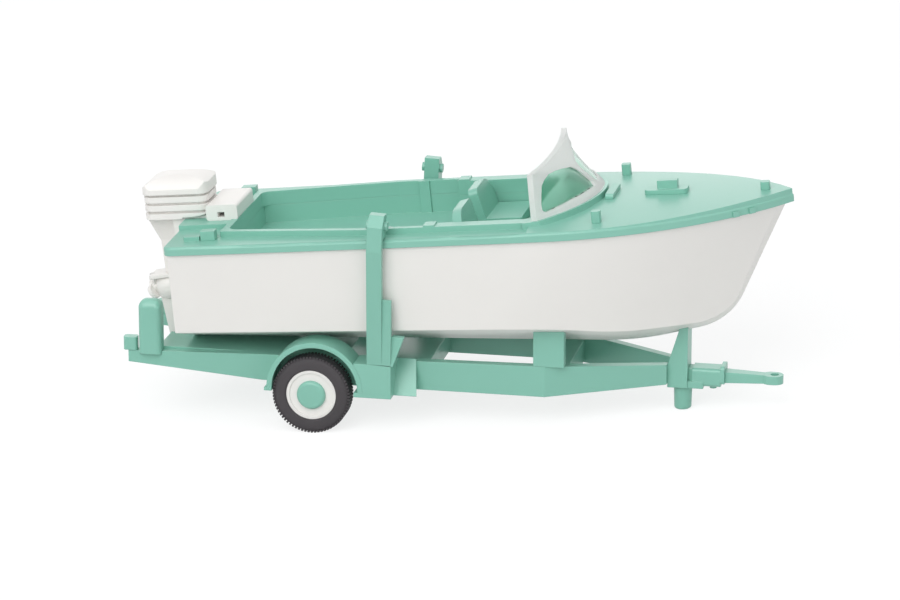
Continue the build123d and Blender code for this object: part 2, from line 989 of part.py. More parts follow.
# Gear case with its splash plate and skeg
GEAR = Plane(
    origin=MOTOR.from_local_coords((gear_tail, 0, gear_height)),
    x_dir=(0, 1, 0),
    z_dir=MOTOR.x_dir,
)
gear_length = gear_nose - gear_tail
with BuildPart() as motor_gearcase:
    with BuildSketch(GEAR):
        Circle(gear_tail_radius)
    with BuildSketch(GEAR.offset(gear_tail_round)):
        Circle(gear_radius)
    with BuildSketch(GEAR.offset(gear_length * 0.6)):
        Circle(gear_radius)
    with BuildSketch(GEAR.offset(gear_length)):
        Circle(gear_nose_radius)
    loft()
    extrude(
        slab(MOTOR.offset(gear_height), leg_low_tail, leg_low_nose, -leg_low_half, leg_low_half),
        amount=-gear_height - leg_length,
    )
    extrude(
        slab(MOTOR.offset(plate_drop - splash_thick), splash_tail, splash_nose, -splash_half, splash_half),
        amount=splash_thick,
    )
    extrude(
        outline(
            Plane(origin=MOTOR.origin, x_dir=MOTOR.x_dir, z_dir=(0, -1, 0)),
            [
                (gear_tail, gear_height),
                (gear_nose - gear_radius, gear_height),
                (skeg_nose, skeg_low),
                (skeg_tail, skeg_low),
            ],
        ),
        amount=skeg_half, both=True,
    )
    add(motor_leg.part, mode=Mode.SUBTRACT)
    add(hull.part, mode=Mode.SUBTRACT)
finish(motor_gearcase, "motor_gearcase")

# Propeller, fixed on this model
SHAFT = GEAR.offset(-propeller_hub_length)
with BuildPart() as motor_propeller:
    with BuildSketch(SHAFT):
        Circle(propeller_hub)
    extrude(amount=propeller_hub_length)
    for turn in range(blade_count):
        angle = 90 + turn * 360 / blade_count
        spoke = math.radians(angle)
        reach = (0, math.cos(spoke), math.sin(spoke))
        out = SHAFT.x_dir * math.cos(spoke) + SHAFT.y_dir * math.sin(spoke)
        across = SHAFT.z_dir.cross(out)
        pitch = math.radians(blade_pitch)
        chord = across * math.cos(pitch) + SHAFT.z_dir * math.sin(pitch)
        middle = SHAFT.origin + SHAFT.z_dir * (propeller_hub_length / 2)
        BLADE = Plane(origin=middle, x_dir=out, z_dir=chord.cross(out))
        with BuildSketch(BLADE):
            with Locations((propeller_radius / 2, 0)):
                Ellipse(propeller_radius / 2, blade_width / 2)
        extrude(amount=blade_thick / 2, both=True)
    add(motor_gearcase.part, mode=Mode.SUBTRACT)
finish(motor_propeller, "motor_propeller")

# Trailer rails: side outline and plan outline meet
rail_side = [
    (rail_tail, rail_tail_low),
    (rail_axle_station, rail_axle_low),
    (rail_knee, rail_knee_low),
    (rail_nose, rail_nose_low),
    (rail_nose, rail_nose_top),
    (rail_knee, rail_knee_top),
    (rail_axle_station, rail_axle_top),
    (rail_tail, rail_tail_top),
]
rail_bend = (rail_face - rail_nose_face) / (rail_nose - rail_knee)
for name, side in SIDES:
    with BuildPart() as rail:
        extrude(
            outline(
                Plane.XY,
                [
                    (rail_tail, side * rail_face),
                    (rail_knee, side * rail_face),
                    (rail_nose, side * rail_nose_face),
                    (rail_nose, side * (rail_nose_face - rail_width)),
                    (rail_knee - rail_bend * rail_width / 2, side * (rail_face - rail_width)),
                    (rail_tail, side * (rail_face - rail_width)),
                ],
            ),
            amount=rail_knee_top + overrun,
        )
        extrude(
            outline(side_plane(), rail_side),
            amount=rail_face + overrun, both=True, mode=Mode.INTERSECT,
        )
        with BuildSketch(AXLE):
            Circle(axle_radius + seat_gap)
        extrude(amount=rail_face + overrun, both=True, mode=Mode.SUBTRACT)
    finish(rail, f"rail_{name}")

# Plates and bars between the rails, clear of the keel
rail_inner = rail_face - rail_width
CROSS_MEMBERS = (
    # name, tail, nose, low, top
    ("tail_plate", tail_plate_tail, tail_plate_nose, tail_plate_top - tail_plate_thick, tail_plate_top),
    ("front_bar", front_bar_tail, front_bar_nose, front_bar_low, front_bar_top),
    ("knee_bar", knee_bar_tail, knee_bar_nose, knee_bar_low, knee_bar_top),
)
for name, tail, nose, low, top in CROSS_MEMBERS:
    with BuildPart() as member:
        extrude(slab(Plane.XY.offset(low), tail, nose, -rail_inner, rail_inner), amount=top - low)
        extrude(
            both_sides(
                Plane.XY.offset(low),
                [(rail_tail, rail_face), (rail_knee, rail_face), (rail_nose, rail_nose_face)],
            ),
            amount=top - low, mode=Mode.INTERSECT,
        )
        add(hull.part, mode=Mode.SUBTRACT)
        for side_name, side in SIDES:
            add(finished[f"rail_{side_name}"], mode=Mode.SUBTRACT)
        extrude(
            slab(
                Plane.XY.offset(low),
                tail_plate_tail,
                tail_plate_tail + skeg_notch,
                -skeg_notch / 2,
                skeg_notch / 2,
            ),
            amount=top - low,
            mode=Mode.SUBTRACT,
        )
    finish(member, name)

# Axle beam with the bore that the axle turns in
with BuildPart() as axle_beam:
    extrude(
        slab(Plane.XY.offset(axle_beam_low), axle_beam_tail, axle_beam_nose, -rail_inner, rail_inner),
        amount=axle_beam_top - axle_beam_low,
    )
    with BuildSketch(AXLE):
        Circle(axle_radius + seat_gap)
    extrude(amount=rail_face + overrun, both=True, mode=Mode.SUBTRACT)
    add(hull.part, mode=Mode.SUBTRACT)
finish(axle_beam, "axle_beam")

# Fenders: thin arches outside the rails, with a flap at the tail
for name, side in SIDES:
    with BuildPart() as fender:
        with BuildSketch(side_plane(side * rail_face)) as arch:
            with Locations((fender_station, fender_height)):
                Circle(fender_radius + fender_thick)
                Circle(fender_radius, mode=Mode.SUBTRACT)
            with Locations((fender_station, fender_height - fender_radius - fender_thick)):
                Rectangle(
                    4 * fender_radius, 2 * (fender_radius + fender_thick), mode=Mode.SUBTRACT
                )
            tail_edge = fender_station - fender_radius
            with Locations((tail_edge - fender_flap / 2, (fender_tail_low + fender_height) / 2)):
                Rectangle(fender_flap, fender_height - fender_tail_low)
        extrude(amount=-side * (fender_face - rail_face))
    finish(fender, f"fender_{name}")

# Foot boxes beside the rails, sloping outside ahead of the stanchion, with a
# toe under the fender's end
def stanchion_place(side):
    """X of the tail face of one side's stanchion."""
    return stanchion_tail + port_stanchion_ahead * max(side, 0)


for name, side in SIDES:
    with BuildPart() as foot:
        extrude(
            outline(
                Plane.XY.offset(foot_low),
                [
                    (foot_tail - foot_toe_length, side * rail_face),
                    (foot_nose - foot_undercut, side * rail_face),
                    (foot_nose, side * fender_face),
                    (foot_tail - foot_toe_length, side * fender_face),
                ],
            ),
            amount=foot_top - foot_low,
        )
        with BuildSketch(side_plane()):
            with Locations((fender_station, fender_height)):
                Circle(fender_radius + fender_thick)
            with Locations((fender_station, fender_height - fender_radius - fender_thick)):
                Rectangle(
                    4 * fender_radius, 2 * (fender_radius + fender_thick), mode=Mode.SUBTRACT
                )
        extrude(amount=fender_face + overrun, both=True, mode=Mode.SUBTRACT)
        extrude(
            outline(
                cross_plane(stanchion_place(side) + stanchion_width + rib_width),
                [
                    (side * rail_face, foot_top),
                    (side * (fender_face + overrun), foot_top),
                    (side * (fender_face + overrun), foot_low - overrun),
                    (side * foot_nose_face, foot_low - overrun),
                    (side * foot_nose_face, foot_low),
                ],
            ),
            amount=foot_nose, mode=Mode.SUBTRACT,
        )
    finish(foot, f"stanchion_foot_{name}")

# Each stanchion is laid out upright and then leans forward from its foot
stanchion_lean = math.atan(stanchion_shift / (deck_height - foot_top))
for name, side in SIDES:
    tail = stanchion_place(side)
    LEAN = Location((tail, 0, foot_top), (0, math.degrees(stanchion_lean), 0)) * Location(
        (-tail, 0, -foot_top)
    )
    strap_inner = rim_half(tail) + strap_gap
    strap_outer = strap_inner + stanchion_thick
    hook_end = strap_inner - hook_lap
    hook_nose = tail + stanchion_shift + hook_width
    rim_top = deck_height + hook_nose * math.tan(math.radians(deck_angle))
    rim_top += hook_width * math.sin(stanchion_lean)
    rim_low = deck_height + tail * math.tan(math.radians(deck_angle)) - rim_depth
    upright = [
        (fender_face - stanchion_thick, foot_top - overrun / 2),
        (fender_face - stanchion_thick, foot_top),
        (strap_inner, rim_low - seat_gap),
        (strap_inner, rim_top + seat_gap),
        (hook_end, rim_top + seat_gap),
        (hook_end, rim_top + hook_rise),
        (hook_end + hook_round * 1.5, rim_top + hook_rise),
        (strap_outer, rim_top + hook_shoulder_rise),
        (strap_outer, rim_low),
        (fender_face, foot_top),
        (fender_face, foot_top - overrun / 2),
    ]
    with BuildPart() as stanchion:
        extrude(
            outline(cross_plane(tail), [(side * across, up) for across, up in upright]),
            amount=stanchion_width,
        )
        rib_nose = tail + stanchion_width + rib_width
        splay = (strap_inner - fender_face + stanchion_thick) / (rim_low - foot_top)
        rib_shift = (rib_top - foot_top) * splay
        rib_inner = fender_face - stanchion_thick
        extrude(
            outline(
                cross_plane(tail + stanchion_width),
                [
                    (side * rib_inner, foot_top - overrun / 2),
                    (side * rib_inner, foot_top),
                    (side * (rib_inner + rib_shift), rib_top),
                    (side * (rib_inner + stanchion_thick / 2 + rib_shift), rib_top),
                    (side * fender_face, foot_top),
                    (side * fender_face, foot_top - overrun / 2),
                ],
            ),
            amount=rib_width,
        )
        extrude(
            outline(
                side_plane(side * (fender_face - stanchion_thick / 2)),
                [
                    (rib_nose, foot_top),
                    (rib_nose + gusset_length / 6, foot_top),
                    (rib_nose + gusset_length, gusset_top),
                    (rib_nose, gusset_top),
                ],
            ),
            amount=stanchion_thick / 2, both=True,
        )
        with BuildSketch(cross_plane(tail + stanchion_width / 2)):
            with Locations((side * (strap_inner - hook_pin_lap), rim_top + hook_pin_rise)):
                Circle(hook_pin_radius)
        extrude(amount=stanchion_width / 2 + hook_pin_proud, both=True)
    with BuildPart() as leaning_stanchion:
        add(LEAN * stanchion.part)
        split(bisect_by=Plane.XY.offset(foot_top - overrun / 2), keep=Keep.TOP)
        add(finished[f"stanchion_foot_{name}"], mode=Mode.SUBTRACT)
    finish(leaning_stanchion, f"stanchion_{name}")

# Brackets that carry the hull at the rails' knees
for name, side in SIDES:
    with BuildPart() as bracket:
        extrude(
            slab(
                Plane.XY.offset(rail_knee_top),
                bracket_tail,
                bracket_nose,
                side * (rail_face - bracket_thick),
                side * rail_face,
            ),
            amount=deck_height - rail_knee_top - floor_depth - floor_thick - overrun,
        )
        add(hull.part, mode=Mode.SUBTRACT)
        split(
            bisect_by=Plane(
                origin=(0, 0, keel_height(bracket_nose) + rail_face * math.tan(math.radians(fore_deadrise))),
                z_dir=(0, 0, 1),
            ),
            keep=Keep.BOTTOM,
        )
        with BuildSketch(side_plane()):
            with BuildLine():
                Polyline(*rail_side, close=True)
            make_face()
        extrude(amount=rail_face + overrun, both=True, mode=Mode.SUBTRACT)
    finish(bracket, f"hull_bracket_{name}")

# Posts on the rails' tails, with rounded heads
for name, side in SIDES:
    with BuildPart() as post:
        with BuildSketch(Plane.XY.offset(rail_tail_low + rail_width)):
            with Locations((post_station, side * post_inset)):
                RectangleRounded(post_length, post_width, post_round)
        extrude(amount=post_top - rail_tail_low - rail_width)
        fillet(post.faces().sort_by(Axis.Z)[-1].edges(), post_dome)
        add(finished[f"rail_{name}"], mode=Mode.SUBTRACT)
        add(finished["tail_plate"], mode=Mode.SUBTRACT)
    finish(post, f"tail_post_{name}")

# Lamps at the rails' tail ends
with BuildPart() as tail_lamps:
    for name, side in SIDES:
        with BuildSketch(Plane.XY.offset(rail_tail_top + seat_gap)):
            with Locations((lamp_station, side * post_inset)):
                RectangleRounded(lamp_length, lamp_width, lamp_round)
        extrude(amount=lamp_top - rail_tail_top - seat_gap)
    for name, side in SIDES:
        add(finished[f"tail_post_{name}"], mode=Mode.SUBTRACT)
finish(tail_lamps, "tail_lamps")

# Chock under the forefoot: two blades that hold the keel
chock_tail = rail_nose
chock_nose = chock_tail + chock_length
with BuildPart() as bow_chock:
    extrude(
        outline(
            side_plane(),
            [
                (chock_tail, leg_root_height),
                (chock_nose, leg_root_height),
                (chock_nose, chock_top),
                (chock_tail + chock_crest_length, chock_top),
                (chock_tail, chock_shoulder),
            ],
        ),
        amount=chock_face, both=True,
    )
    add(hull.part, mode=Mode.SUBTRACT)
finish(bow_chock, "bow_chock")

# Leg that the nose stands on, cut to the floor
with BuildPart() as support_leg:
    with BuildSketch(Plane.XY.offset(leg_root_height)):
        with Locations((chock_tail + leg_setback, 0)):
            Circle(leg_radius)
    with BuildSketch(Plane.XY.offset(leg_root_height - wheel_radius)):
        with Locations((chock_tail + leg_setback, 0)):
            Circle(leg_tip_radius)
    loft(ruled=True)
    split(bisect_by=FLOOR, keep=Keep.TOP)
    fillet(support_leg.edges().sort_by(Axis.Z)[0], leg_tip_round)
finish(support_leg, "support_leg")

# Coupling sleeve with its neck, end flange, nub and the tongue under it
sleeve_tail = chock_nose + neck_length
sleeve_nose = sleeve_tail + sleeve_length
with BuildPart() as coupling_sleeve:
    extrude(
        slab(Plane.XY.offset(neck_low), chock_nose, sleeve_tail, -neck_face, neck_face),
        amount=neck_top - neck_low,
    )
    extrude(
        slab(
            Plane.XY.offset(leg_root_height),
            chock_nose,
            sleeve_tail + tongue_length,
            -tongue_face,
            tongue_face,
        ),
        amount=tongue_thick,
    )
    with BuildSketch(cross_plane(sleeve_tail)):
        with Locations((0, (sleeve_low + sleeve_top) / 2)):
            RectangleRounded(2 * sleeve_face, sleeve_top - sleeve_low, sleeve_round)
    extrude(amount=sleeve_nose - sleeve_tail)
    with BuildSketch(cross_plane(sleeve_nose)):
        with Locations((0, (sleeve_low + sleeve_top) / 2 + flange_rise)):
            RectangleRounded(2 * sleeve_face, sleeve_top - sleeve_low, sleeve_round)
    extrude(amount=flange_thick)
    with BuildSketch(Plane.XY.offset(sleeve_low - nub_drop)):
        with Locations((sleeve_nose - nub_setback, 0)):
            Circle(nub_radius)
    extrude(amount=nub_drop + sleeve_round)
finish(coupling_sleeve, "coupling_sleeve")

# Drawbar: tapering bar with a flat eye
drawbar_tail = sleeve_nose + flange_thick
eye_station = drawbar_tail + drawbar_length
with BuildPart() as drawbar:
    with BuildSketch(cross_plane(drawbar_tail)):
        with Locations((0, drawbar_height)):
            Rectangle(drawbar_root_width, drawbar_root)
    with BuildSketch(cross_plane(eye_station)):
        with Locations((0, drawbar_height)):
            Rectangle(drawbar_end_width, drawbar_end)
    loft(ruled=True)
    with BuildSketch(Plane.XY.offset(drawbar_height - eye_thick / 2)):
        with Locations((eye_station, 0), (eye_station - eye_stretch, 0)):
            Circle(eye_radius)
        with Locations((eye_station - eye_stretch / 2, 0)):
            Rectangle(eye_stretch, 2 * eye_radius)
    extrude(amount=eye_thick)
    with BuildSketch(Plane.XY.offset(drawbar_height - overrun)):
        with Locations((eye_station, 0)):
            Circle(eye_hole)
    extrude(amount=2 * overrun, mode=Mode.SUBTRACT)
finish(drawbar, "drawbar")

# Wheelset: one axle with a tyre, a rim and a hub cap on each side
wheel_inner = wheel_face - tyre_width
with BuildPart() as axle:
    with BuildSketch(AXLE):
        Circle(axle_radius)
    extrude(amount=wheel_inner, both=True)
finish(axle, "axle")

for name, side in SIDES:
    FACE = Plane(origin=(0, side * wheel_face, wheel_radius), x_dir=(1, 0, 0), z_dir=(0, side, 0))
    with BuildPart() as tyre:
        with BuildSketch(FACE):
            Circle(wheel_radius)
        extrude(amount=-tyre_width)
        fillet(tyre.edges().filter_by(GeomType.CIRCLE), tyre_shoulder)
        with BuildSketch(FACE):
            Circle(rim_radius)
        extrude(amount=-tyre_width, mode=Mode.SUBTRACT)
    finish(tyre, f"tyre_{name}")

    with BuildPart() as wheel_rim:
        with BuildSketch(FACE.offset(-rim_dish / 2)):
            Circle(rim_radius)
        extrude(amount=-(tyre_width - rim_dish / 2))
        with BuildSketch(FACE.offset(-rim_dish)):
            Circle(rim_radius - rim_lip)
        extrude(amount=rim_dish, mode=Mode.SUBTRACT)
    finish(wheel_rim, f"wheel_rim_{name}")

    with BuildPart() as hub_cap:
        with BuildSketch(FACE.offset(-rim_dish)):
            Circle(hub_radius)
        extrude(amount=hub_dome)
        fillet(hub_cap.faces().sort_by(Axis.Y)[-1 if side > 0 else 0].edges(), hub_round)
    finish(hub_cap, f"hub_cap_{name}")

# Parking: tip the whole onto the leg, then centre its box over the origin
tipped = {name: TIPPED * piece for name, piece in finished.items()}
boxes = [piece.bounding_box() for piece in tipped.values()]
tail_end = min(box.min.X for box in boxes)
nose_end = max(box.max.X for box in boxes)
underside = min(box.min.Z for box in boxes)
centre = Location((-(tail_end + nose_end) / 2, 0, -underside))
for name, piece in tipped.items():
    parked = centre * piece
    parked.label = name
    export_step(parked, f"parts/{name}.step")
    print(name, len(parked.solids()), round(parked.volume, 2), parked.is_valid)

print("length", round(nose_end - tail_end, 3), "shift", centre.position)
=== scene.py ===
"""Looks of a small plastic model: a speedboat with an outboard motor on its trailer.

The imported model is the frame. Bow along +X, port along +Y, metres. The script
gives every moulded piece its finish, makes both tyres anew with their tread,
and sets the studio and the camera.
"""

import json
import logging
import math
from collections.abc import Sequence
from dataclasses import dataclass, field
from enum import Enum
from typing import Any

import bmesh
import bpy
from mathutils import Matrix, Vector

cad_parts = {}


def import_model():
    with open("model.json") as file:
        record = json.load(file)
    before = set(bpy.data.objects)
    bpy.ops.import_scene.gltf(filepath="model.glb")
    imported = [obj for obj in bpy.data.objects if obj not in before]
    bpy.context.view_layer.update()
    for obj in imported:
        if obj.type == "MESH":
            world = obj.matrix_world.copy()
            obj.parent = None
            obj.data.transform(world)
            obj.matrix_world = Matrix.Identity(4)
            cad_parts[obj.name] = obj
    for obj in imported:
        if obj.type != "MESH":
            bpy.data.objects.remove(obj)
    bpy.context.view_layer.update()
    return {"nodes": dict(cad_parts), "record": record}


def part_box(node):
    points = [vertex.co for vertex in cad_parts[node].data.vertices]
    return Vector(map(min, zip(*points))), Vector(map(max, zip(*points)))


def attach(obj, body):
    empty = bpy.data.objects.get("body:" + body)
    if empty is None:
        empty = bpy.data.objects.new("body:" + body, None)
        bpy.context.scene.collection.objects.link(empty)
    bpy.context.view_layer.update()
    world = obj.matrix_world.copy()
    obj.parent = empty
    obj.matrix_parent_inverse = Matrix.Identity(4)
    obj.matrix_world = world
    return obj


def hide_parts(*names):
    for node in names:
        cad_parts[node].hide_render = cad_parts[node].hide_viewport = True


log = logging.getLogger("model_boat")

MM = 0.001
WHITE_LIGHT = "#FFFFFF"

# sockets of the Mix node where it mixes colours
MIX_FIRST, MIX_SECOND, MIX_RESULT = 6, 7, 2


class Slot(Enum):
    """Material slots of the record."""

    MINT = "mint_plastic"
    WHITE = "white_plastic"
    FROSTED = "frosted_plastic"
    CLEAR = "clear_plastic"
    TYRE = "tyre_black"
    STEEL = "steel"


class Side(Enum):
    """Sides of the boat, as the nodes spell them."""

    STARBOARD = "starboard"
    PORT = "port"


def linear(colour: str) -> tuple[float, float, float, float]:
    """Turn an sRGB hex colour into linear values.

    Args:
        colour: Six hex digits with a leading mark, such as "#7CC4AC".

    Returns:
        Linear red, green, blue and an alpha of one.
    """
    digits = colour.lstrip("#")
    shares = [int(digits[i : i + 2], 16) / 255 for i in (0, 2, 4)]
    knee, slope, lift, power = 0.04045, 12.92, 0.055, 2.4
    values = [s / slope if s <= knee else ((s + lift) / (1 + lift)) ** power for s in shares]
    return values[0], values[1], values[2], 1.0


def add_node(
    tree: bpy.types.NodeTree, kind: str, inputs: dict[Any, Any] | None = None, **settings: Any
) -> bpy.types.Node:
    """Add a node with its settings, values and links.

    Args:
        tree: Tree that gets the node.
        kind: Type name of the node.
        inputs: Input name or number to a value or to another node's output.
        settings: Properties of the node itself.

    Returns:
        The new node.
    """
    node = tree.nodes.new(kind)
    for name, value in settings.items():
        setattr(node, name, value)
    for key, value in (inputs or {}).items():
        if isinstance(value, bpy.types.NodeSocket):
            tree.links.new(value, node.inputs[key])
        else:
            node.inputs[key].default_value = value
    return node


def new_material(name: str) -> tuple[bpy.types.Material, bpy.types.NodeTree]:
    """Make an empty node material.

    Args:
        name: Name of the finish.

    Returns:
        The material and its empty tree.
    """
    material = bpy.data.materials.new(name)
    material.use_nodes = True
    material.node_tree.nodes.clear()
    return material, material.node_tree


def seen_rays(tree: bpy.types.NodeTree) -> bpy.types.NodeSocket:
    """Tell the rays that show the ground: to the camera, in a gloss or through a pane.

    Args:
        tree: Tree that gets the nodes.

    Returns:
        A value that is one for those rays and zero for the rest.
    """
    path = add_node(tree, "ShaderNodeLightPath")
    seen = path.outputs["Is Camera Ray"]
    for ray in ("Is Glossy Ray", "Is Transmission Ray"):
        pair = {0: seen, 1: path.outputs[ray]}
        seen = add_node(tree, "ShaderNodeMath", pair, operation="MAXIMUM").outputs[0]
    return seen


def new_piece(
    name: str, verts: list[Vector], faces: list[tuple[int, ...]], smooth_degrees: float
) -> bpy.types.Object:
    """Make a closed mesh object at the origin and link it.

    Args:
        name: Name of the piece.
        verts: Corners in metres.
        faces: Corner numbers of each face.
        smooth_degrees: Edges flatter than this are shaded smooth.

    Returns:
        The object, with its faces pointing outwards.
    """
    mesh = bpy.data.meshes.new(name)
    mesh.from_pydata([tuple(vert) for vert in verts], [], faces)
    sheet = bmesh.new()
    sheet.from_mesh(mesh)
    bmesh.ops.recalc_face_normals(sheet, faces=sheet.faces)
    sheet.to_mesh(mesh)
    sheet.free()
    mesh.shade_smooth()
    mesh.set_sharp_from_angle(angle=math.radians(smooth_degrees))
    piece = bpy.data.objects.new(name, mesh)
    bpy.context.scene.collection.objects.link(piece)
    return piece


def apply_nodes(
    piece: bpy.types.Object, tree: bpy.types.NodeTree, values: dict[str, Any]
) -> bpy.types.Object:
    """Run a node tree on a piece and keep the result as a plain mesh.

    Args:
        piece: Object whose mesh goes in.
        tree: Node tree with named inputs.
        values: Value of each named input.

    Returns:
        The same object, with the plain mesh and no modifier.
    """
    modifier = piece.modifiers.new(tree.name, "NODES")
    modifier.node_group = tree
    for socket in tree.interface.items_tree:
        if socket.in_out == "INPUT" and socket.name in values:
            modifier[socket.identifier] = values[socket.name]
    view = bpy.context.evaluated_depsgraph_get()
    result = bpy.data.meshes.new_from_object(piece.evaluated_get(view))
    piece.modifiers.remove(modifier)
    piece.data = result
    return piece


@dataclass(frozen=True)
class MouldedStyrene:
    """Injection-moulded polystyrene, satin from a fine-sparked mould.

    The spark-eroded mould leaves a grain that breaks the shine up, the flow of
    the melt gives faint clouds of colour, and the thin edges let light through.
    """

    name: str
    colour: str
    shade: str
    roughness: float
    shinier: float = 0.05
    duller: float = 0.07
    ior: float = 1.59
    cloud_mm: float = 9.0
    cloud_detail: float = 3.0
    cloud_rough: float = 0.55
    # a sparked mould's grain is near 0.03 mm, too fine to show, so it is drawn coarser
    grain_mm: float = 0.16
    grain_depth_mm: float = 0.006
    grain_strength: float = 0.2
    grain_detail: float = 2.0
    grain_rough: float = 0.6
    # the small rounding of moulded edges, in the shading alone
    edge_mm: float = 0.09
    edge_samples: int = 6
    glow: float = 0.12
    glow_mm: float = 0.5
    glow_shares: tuple[float, float, float] = (1.0, 1.0, 1.0)

    def build(self) -> bpy.types.Material:
        """Build the material.

        Returns:
            The finished material.
        """
        material, tree = new_material(self.name)
        place = add_node(tree, "ShaderNodeTexCoord").outputs["Object"]
        cloud = add_node(
            tree,
            "ShaderNodeTexNoise",
            {
                "Vector": place,
                "Scale": 1 / (self.cloud_mm * MM),
                "Detail": self.cloud_detail,
                "Roughness": self.cloud_rough,
            },
        )
        grain = add_node(
            tree,
            "ShaderNodeTexNoise",
            {
                "Vector": place,
                "Scale": 1 / (self.grain_mm * MM),
                "Detail": self.grain_detail,
                "Roughness": self.grain_rough,
            },
        )
        colour = add_node(
            tree,
            "ShaderNodeMix",
            {
                "Factor": cloud.outputs["Fac"],
                MIX_FIRST: linear(self.shade),
                MIX_SECOND: linear(self.colour),
            },
            data_type="RGBA",
        )
        shine = add_node(
            tree,
            "ShaderNodeMapRange",
            {
                "Value": grain.outputs["Fac"],
                "To Min": self.roughness - self.shinier,
                "To Max": self.roughness + self.duller,
            },
        )
        edge = add_node(
            tree, "ShaderNodeBevel", {"Radius": self.edge_mm * MM}, samples=self.edge_samples
        )
        bump = add_node(
            tree,
            "ShaderNodeBump",
            {
                "Strength": self.grain_strength,
                "Distance": self.grain_depth_mm * MM,
                "Height": grain.outputs["Fac"],
                "Normal": edge.outputs["Normal"],
            },
        )
        shader = add_node(
            tree,
            "ShaderNodeBsdfPrincipled",
            {
                "Base Color": colour.outputs[MIX_RESULT],
                "Roughness": shine.outputs["Result"],
                "Normal": bump.outputs["Normal"],
                "IOR": self.ior,
                "Subsurface Weight": self.glow,
                "Subsurface Radius": self.glow_shares,
                "Subsurface Scale": self.glow_mm * MM,
            },
        )
        add_node(tree, "ShaderNodeOutputMaterial", {"Surface": shader.outputs["BSDF"]})
        return material


@dataclass(frozen=True)
class ClearStyrene:
    """Crystal polystyrene, moulded thin and slightly wavy.

    Clear plastic bends what is behind it a little and catches the lamps. The
    thin panes bend it less than a thick block does, so their IOR is lowered.
    """

    name: str
    colour: str
    roughness: float
    transmission: float
    duller: float = 0.05
    ior: float = 1.3
    ripple_mm: float = 2.4
    ripple_depth_mm: float = 0.02
    ripple_strength: float = 0.2
    ripple_detail: float = 1.0

    def build(self) -> bpy.types.Material:
        """Build the material.

        Returns:
            The finished material.
        """
        material, tree = new_material(self.name)
        place = add_node(tree, "ShaderNodeTexCoord").outputs["Object"]
        ripple = add_node(
            tree,
            "ShaderNodeTexNoise",
            {
                "Vector": place,
                "Scale": 1 / (self.ripple_mm * MM),
                "Detail": self.ripple_detail,
            },
        )
        bump = add_node(
            tree,
            "ShaderNodeBump",
            {
                "Strength": self.ripple_strength,
                "Distance": self.ripple_depth_mm * MM,
                "Height": ripple.outputs["Fac"],
            },
        )
        shine = add_node(
            tree,
            "ShaderNodeMapRange",
            {
                "Value": ripple.outputs["Fac"],
                "To Min": self.roughness,
                "To Max": self.roughness + self.duller,
            },
        )
        shader = add_node(
            tree,
            "ShaderNodeBsdfPrincipled",
            {
                "Base Color": linear(self.colour),
                "Roughness": shine.outputs["Result"],
                "Normal": bump.outputs["Normal"],
                "IOR": self.ior,
                "Transmission Weight": self.transmission,
            },
        )
        add_node(tree, "ShaderNodeOutputMaterial", {"Surface": shader.outputs["BSDF"]})
        return material


@dataclass(frozen=True)
class MouldedTyre:
    """Soft black vinyl, matt from its mould.

    The matt mould scatters the lamps, and a little dust lightens it in patches.
    """

    name: str
    colour: str
    dust: str
    roughness: float = 0.72
    sway: float = 0.08
    # the mould's grain is near 0.05 mm, too fine to show, so it is drawn coarser
    grain_mm: float = 0.2
    grain_depth_mm: float = 0.01
    grain_strength: float = 0.5
    grain_detail: float = 4.0
    patch_mm: float = 1.6
    patch_detail: float = 2.0

    def build(self) -> bpy.types.Material:
        """Build the material.

        Returns:
            The finished material.
        """
        material, tree = new_material(self.name)
        place = add_node(tree, "ShaderNodeTexCoord").outputs["Object"]
        grain = add_node(
            tree,
            "ShaderNodeTexNoise",
            {"Vector": place, "Scale": 1 / (self.grain_mm * MM), "Detail": self.grain_detail},
        )
        patches = add_node(
            tree,
            "ShaderNodeTexNoise",
            {"Vector": place, "Scale": 1 / (self.patch_mm * MM), "Detail": self.patch_detail},
        )
        colour = add_node(
            tree,
            "ShaderNodeMix",
            {
                "Factor": patches.outputs["Fac"],
                MIX_FIRST: linear(self.colour),
                MIX_SECOND: linear(self.dust),
            },
            data_type="RGBA",
        )
        bump = add_node(
            tree,
            "ShaderNodeBump",
            {
                "Strength": self.grain_strength,
                "Distance": self.grain_depth_mm * MM,
                "Height": grain.outputs["Fac"],
            },
        )
        shine = add_node(
            tree,
            "ShaderNodeMapRange",
            {
                "Value": patches.outputs["Fac"],
                "To Min": self.roughness - self.sway,
                "To Max": self.roughness + self.sway,
            },
        )
        shader = add_node(
            tree,
            "ShaderNodeBsdfPrincipled",
            {
                "Base Color": colour.outputs[MIX_RESULT],
                "Roughness": shine.outputs["Result"],
                "Normal": bump.outputs["Normal"],
            },
        )
        add_node(tree, "ShaderNodeOutputMaterial", {"Surface": shader.outputs["BSDF"]})
        return material


